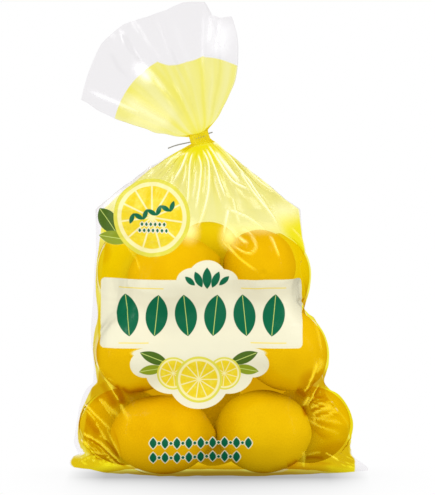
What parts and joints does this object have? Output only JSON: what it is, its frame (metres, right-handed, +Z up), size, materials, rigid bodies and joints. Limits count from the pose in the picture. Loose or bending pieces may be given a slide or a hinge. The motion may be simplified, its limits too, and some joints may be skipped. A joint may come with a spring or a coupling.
{
  "type": "bag of lemons",
  "caption": "Upright film bag packed with lemons, its neck gathered by a wire tie and its mouth fanned out above.",
  "frame": {"origin": "middle of the flat base, on the surface that the bag stands on", "axes": "+Z up through the bag, -Y towards the printed front, +X to the right as seen from the front"},
  "size_m": [0.2243, 0.1197, 0.3537],
  "materials": {
    "film_bag": "clear yellow-tinted polythene film over ripe lemons, glossy, with an opaque printed panel",
    "lemon_peel": "ripe lemon peel with fine pores, a soft sheen, seen through the film",
    "tie_wire": "thin grey plastic-covered wire"
  },
  "bodies": {
    "root": {"bag": "film_bag", "twist_tie": "tie_wire"}
  },
  "joints": []
}
